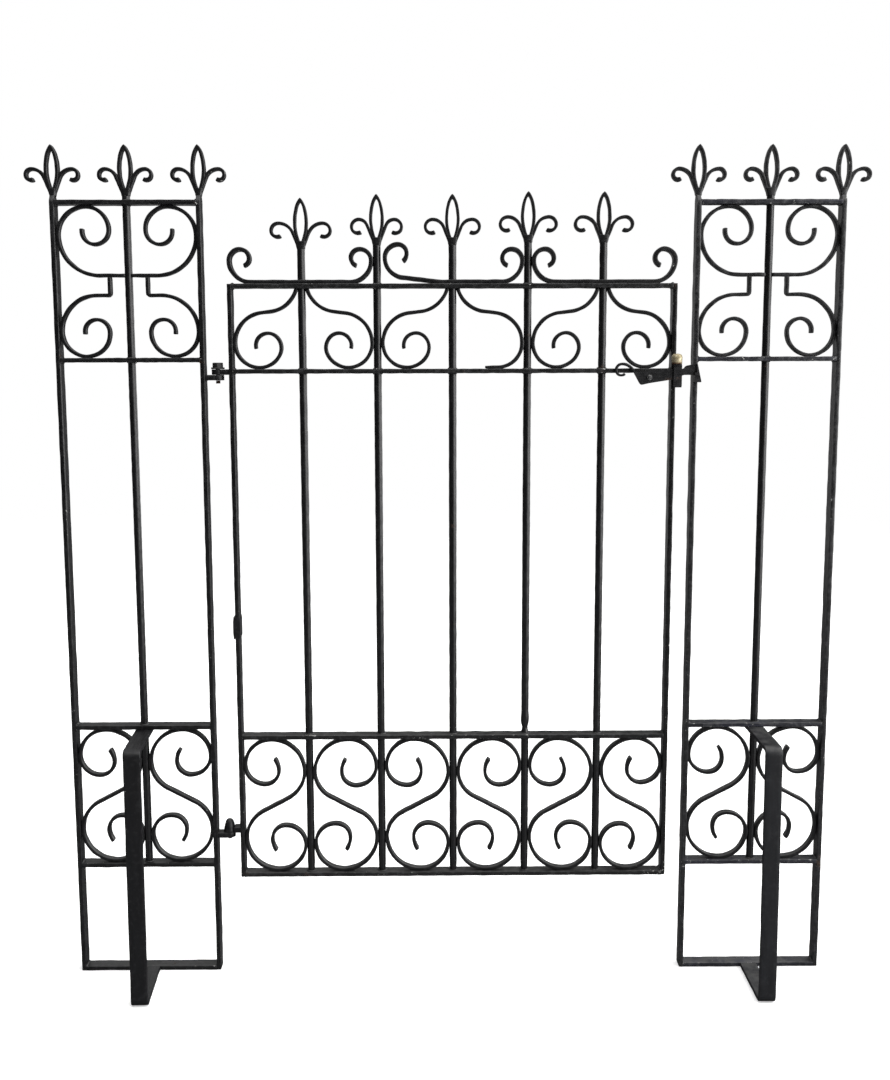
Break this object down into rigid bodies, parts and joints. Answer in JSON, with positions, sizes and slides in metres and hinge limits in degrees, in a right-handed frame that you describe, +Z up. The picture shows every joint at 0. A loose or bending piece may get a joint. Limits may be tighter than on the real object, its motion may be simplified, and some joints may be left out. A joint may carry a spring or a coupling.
{
  "type": "iron pedestrian gate",
  "caption": "Wrought iron garden gate hung between two short railing panels, with scrollwork, leaf finials, cresting, back stays and a lifting latch.",
  "frame": {"origin": "underside of the hinge side panel's base bar, on the axis of that panel's middle bar", "axes": "+X from the hinge side to the latch side, +Z up, -Y towards the side with the latch lever and the stays"},
  "size_m": [1.4207, 0.1641, 1.453],
  "materials": {
    "worn_black_iron": "old black paint, satin, chipped to pale primer and rust at joints",
    "rusted_iron": "bare iron, brown rust",
    "dull_brass": "dull, weathered"
  },
  "bodies": {
    "frame": {"left_outer_post": "worn_black_iron", "left_middle_bar": "worn_black_iron", "hinge_post": "worn_black_iron", "left_top_rail": "worn_black_iron", "left_middle_rail": "worn_black_iron", "left_lower_rail": "worn_black_iron", "left_kick_rail": "worn_black_iron", "left_base_bar": "worn_black_iron", "left_upper_scrolls": "worn_black_iron", "left_s_scrolls": "worn_black_iron", "left_finials": "worn_black_iron", "left_stay": "worn_black_iron", "right_outer_post": "worn_black_iron", "right_middle_bar": "worn_black_iron", "latch_post": "worn_black_iron", "right_top_rail": "worn_black_iron", "right_middle_rail": "worn_black_iron", "right_lower_rail": "worn_black_iron", "right_kick_rail": "worn_black_iron", "right_base_bar": "worn_black_iron", "right_upper_scrolls": "worn_black_iron", "right_s_scrolls": "worn_black_iron", "right_finials": "worn_black_iron", "right_stay": "worn_black_iron", "upper_hinge_lug": "worn_black_iron", "hinge_bolt": "rusted_iron", "lower_hinge_lug": "worn_black_iron", "latch_keeper": "worn_black_iron"},
    "gate": {"upper_hinge_eye": "worn_black_iron", "hinge_stile": "worn_black_iron", "latch_stile": "worn_black_iron", "gate_top_rail": "worn_black_iron", "gate_middle_rail": "worn_black_iron", "gate_lower_rail": "worn_black_iron", "gate_bottom_rail": "worn_black_iron", "gate_bars": "worn_black_iron", "gate_finials": "worn_black_iron", "cresting_left": "worn_black_iron", "cresting_middle": "worn_black_iron", "cresting_right": "worn_black_iron", "heart_scrolls": "worn_black_iron", "broken_scroll": "worn_black_iron", "gate_s_scrolls": "worn_black_iron", "splice_collar": "worn_black_iron", "lower_hinge_socket": "worn_black_iron", "latch_guide": "worn_black_iron", "brass_knob": "dull_brass", "latch_pivot": "rusted_iron"},
    "latch": {"latch_lever": "worn_black_iron"}
  },
  "joints": [
    {"name": "gate_swing", "type": "hinge", "parent": "frame", "child": "gate", "pos_m": [0.1464, 0, 0.7], "axis": [0, 0, -1], "range_deg": [0, 95]},
    {"name": "latch_lift", "type": "hinge", "parent": "gate", "child": "latch", "pos_m": [0.88265, -0.015, 1.065], "axis": [0, -1, 0], "range_deg": [0, 5]}
  ]
}
